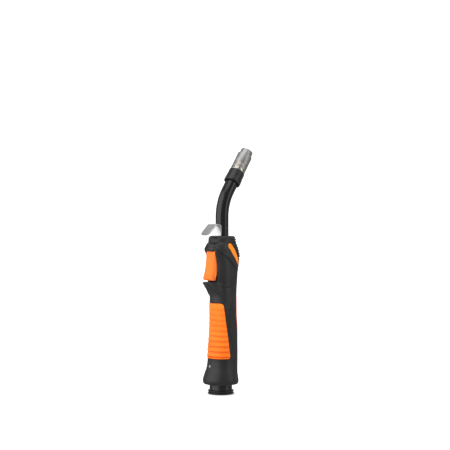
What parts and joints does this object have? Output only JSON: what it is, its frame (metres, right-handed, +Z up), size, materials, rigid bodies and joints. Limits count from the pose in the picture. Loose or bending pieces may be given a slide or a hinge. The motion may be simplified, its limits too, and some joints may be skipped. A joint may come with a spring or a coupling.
{
  "type": "mig welding torch",
  "caption": "Welding torch with a bent neck, slip-off gas nozzle and contact tip, two-shell handle with trigger and soft grips, hanging hook, and swivelling cable collar.",
  "frame": {"origin": "centre of the cable socket's mouth, at the bottom of the cable collar", "axes": "+Z up the handle's axis towards the nozzle, -X the side the trigger faces, Y = 0 the plane where the shells meet; the neck bends towards +X"},
  "size_m": [0.0892, 0.0486, 0.3336],
  "materials": {
    "handle_black": "satin moulded plastic",
    "soft_orange": "soft moulded orange grip",
    "pad_red": "soft moulded red-orange",
    "rubber_black": "soft black",
    "badge_orange": "printed orange badge, plain",
    "screw_steel": "zinc plated",
    "hook_steel": "satin sheet steel",
    "brass": "turned brass",
    "inner_black": "moulded plastic",
    "terminal_brass": "tinned brass",
    "lead_black": "PVC insulation",
    "splice_red": "crimp sleeve",
    "spring_steel": "spring wire",
    "trigger_orange": "satin moulded orange",
    "plunger_white": "moulded plastic",
    "neck_black": "glossy black jacket",
    "copper": "copper",
    "collar_black": "satin black insulator",
    "chrome": "bright chrome",
    "nozzle_metal": "satin nickel plate"
  },
  "bodies": {
    "handle": {"shell_left": "handle_black", "shell_right": "handle_black", "grip_insert_left": "soft_orange", "grip_insert_right": "soft_orange", "back_pad": "pad_red", "thumb_pad": "rubber_black", "badge_left": "badge_orange", "badge_right": "badge_orange", "shell_screws": "screw_steel", "clamp_screw": "screw_steel", "hook": "hook_steel", "neck_socket": "brass", "lock_screw": "screw_steel", "cable_nipple": "brass", "nipple_nut": "brass", "switch_housing": "inner_black", "trigger_pin": "screw_steel", "switch_body": "inner_black", "switch_terminals": "terminal_brass", "switch_leads": "lead_black", "lead_splices": "splice_red", "trigger_spring": "spring_steel"},
    "trigger": {"trigger": "trigger_orange"},
    "plunger": {"switch_plunger": "plunger_white"},
    "neck": {"neck_sleeve": "neck_black", "neck_tube": "copper", "neck_liner": "spring_steel", "neck_plug": "brass", "plug_rings": "rubber_black", "nozzle_collar": "collar_black", "nozzle_seat": "chrome", "nozzle_snap": "spring_steel", "gas_diffuser": "brass", "contact_tip": "copper"},
    "nozzle": {"gas_nozzle": "nozzle_metal", "nozzle_insert": "copper", "nozzle_band": "nozzle_metal"},
    "seat": {"ball_seat": "inner_black"},
    "cable_tail": {"swivel_ball": "inner_black", "cable_collar": "collar_black", "collar_clip": "screw_steel"}
  },
  "joints": [
    {"name": "trigger_pivot", "type": "hinge", "parent": "handle", "child": "trigger", "pos_m": [-0.015, 0, 0.1895], "axis": [0, -1, 0], "range_deg": [0, 5], "stiffness_Nm_per_rad": 1.2, "springref_deg": -4.58, "deforming": ["trigger_spring"]},
    {"name": "switch_press", "type": "slide", "parent": "handle", "child": "plunger", "axis": [1, 0, 0], "range_m": [0, 0.0022]},
    {"name": "neck_turn", "type": "hinge", "parent": "handle", "child": "neck", "pos_m": [0.00235, 0, 0.19], "axis": [0, 0, 1], "range_deg": [-180, 180]},
    {"name": "nozzle_pull", "type": "slide", "parent": "neck", "child": "nozzle", "axis": [0.5592, 0, 0.829], "range_m": [0, 0.03]},
    {"name": "tail_turn", "type": "hinge", "parent": "handle", "child": "seat", "pos_m": [0, 0, 0.028], "axis": [0, 0, 1], "continuous": true},
    {"name": "tail_tilt", "type": "hinge", "parent": "seat", "child": "cable_tail", "pos_m": [0, 0, 0.028], "axis": [0, 1, 0], "range_deg": [-8, 8]}
  ],
  "couplings": [
    {"joint": "switch_press", "follows": "trigger_pivot", "m_per_rad": 0.0245}
  ]
}
